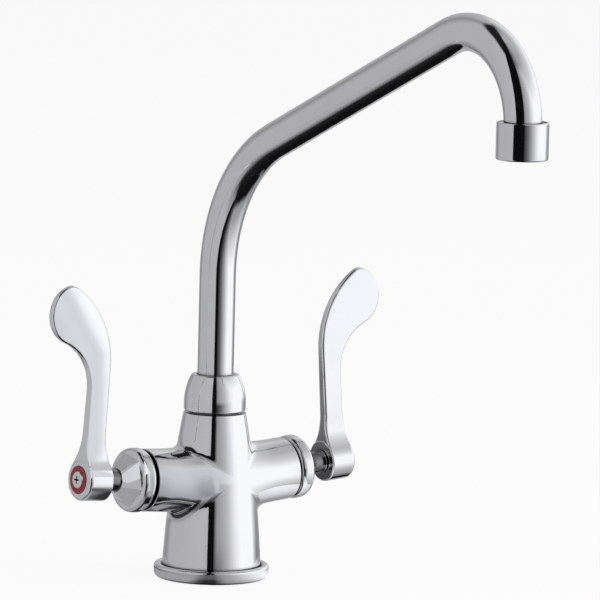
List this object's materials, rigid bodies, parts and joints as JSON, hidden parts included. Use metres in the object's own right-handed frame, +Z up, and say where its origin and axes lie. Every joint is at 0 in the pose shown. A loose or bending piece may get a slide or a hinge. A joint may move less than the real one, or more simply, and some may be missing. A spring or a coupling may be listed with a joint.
{
  "type": "deck-mount faucet",
  "caption": "Deck-mount kitchen faucet with a tall bent swivel spout, blade handles on tilted side arms and a round flanged body.",
  "frame": {"origin": "centre of the body's round foot on the deck's top surface", "axes": "+Z up out of the deck, -Y the way the spout points at rest, X along the arms with hot at -X"},
  "size_m": [0.209, 0.2972, 0.3735],
  "materials": {
    "chrome": "polished chrome plate",
    "brass": "machined",
    "stainless": "machined",
    "rubber": "moulded",
    "ceramic": "lapped ceramic",
    "white_plastic": "moulded",
    "hot_index": "moulded, glossy",
    "cold_index": "moulded, glossy"
  },
  "bodies": {
    "faucet_body": {"body_casting": "chrome", "base_gasket": "rubber", "mounting_shank": "brass", "deck_rubber_washer": "rubber", "deck_steel_washer": "stainless", "mounting_nut": "brass", "spout_collar_nut": "chrome", "spout_bearing_washer": "white_plastic", "hot_seat_seal": "rubber", "hot_fixed_disc": "ceramic", "hot_cartridge_body": "brass", "hot_cartridge_o_ring": "rubber", "hot_bonnet_nut": "chrome", "cold_seat_seal": "rubber", "cold_fixed_disc": "ceramic", "cold_cartridge_body": "brass", "cold_cartridge_o_ring": "rubber", "cold_bonnet_nut": "chrome"},
    "spout": {"spout_swivel_stub": "brass", "spout_o_rings": "rubber", "spout_tube": "chrome", "outlet_sleeve": "chrome", "aerator_housing": "chrome", "aerator_insert": "white_plastic", "aerator_screen": "stainless", "aerator_washer": "rubber"},
    "hot_handle_set": {"hot_moving_disc": "ceramic", "hot_spindle": "stainless", "hot_spindle_o_rings": "rubber", "hot_spindle_clip": "stainless", "hot_handle": "chrome", "hot_handle_screw": "stainless", "hot_index_ring": "hot_index"},
    "cold_handle_set": {"cold_moving_disc": "ceramic", "cold_spindle": "stainless", "cold_spindle_o_rings": "rubber", "cold_spindle_clip": "stainless", "cold_handle": "chrome", "cold_handle_screw": "stainless", "cold_index_ring": "cold_index"}
  },
  "joints": [
    {"name": "spout_swivel", "type": "hinge", "parent": "faucet_body", "child": "spout", "pos_m": [0, 0, 0.0872], "axis": [0, 0, 1], "continuous": true},
    {"name": "hot_handle_turn", "type": "hinge", "parent": "faucet_body", "child": "hot_handle_set", "pos_m": [-0.07783, 0, 0.05685], "axis": [0.9972, 0, -0.075], "range_deg": [0, 90]},
    {"name": "cold_handle_turn", "type": "hinge", "parent": "faucet_body", "child": "cold_handle_set", "pos_m": [0.07783, 0, 0.05685], "axis": [0.9972, 0, 0.075], "range_deg": [0, 90]}
  ]
}
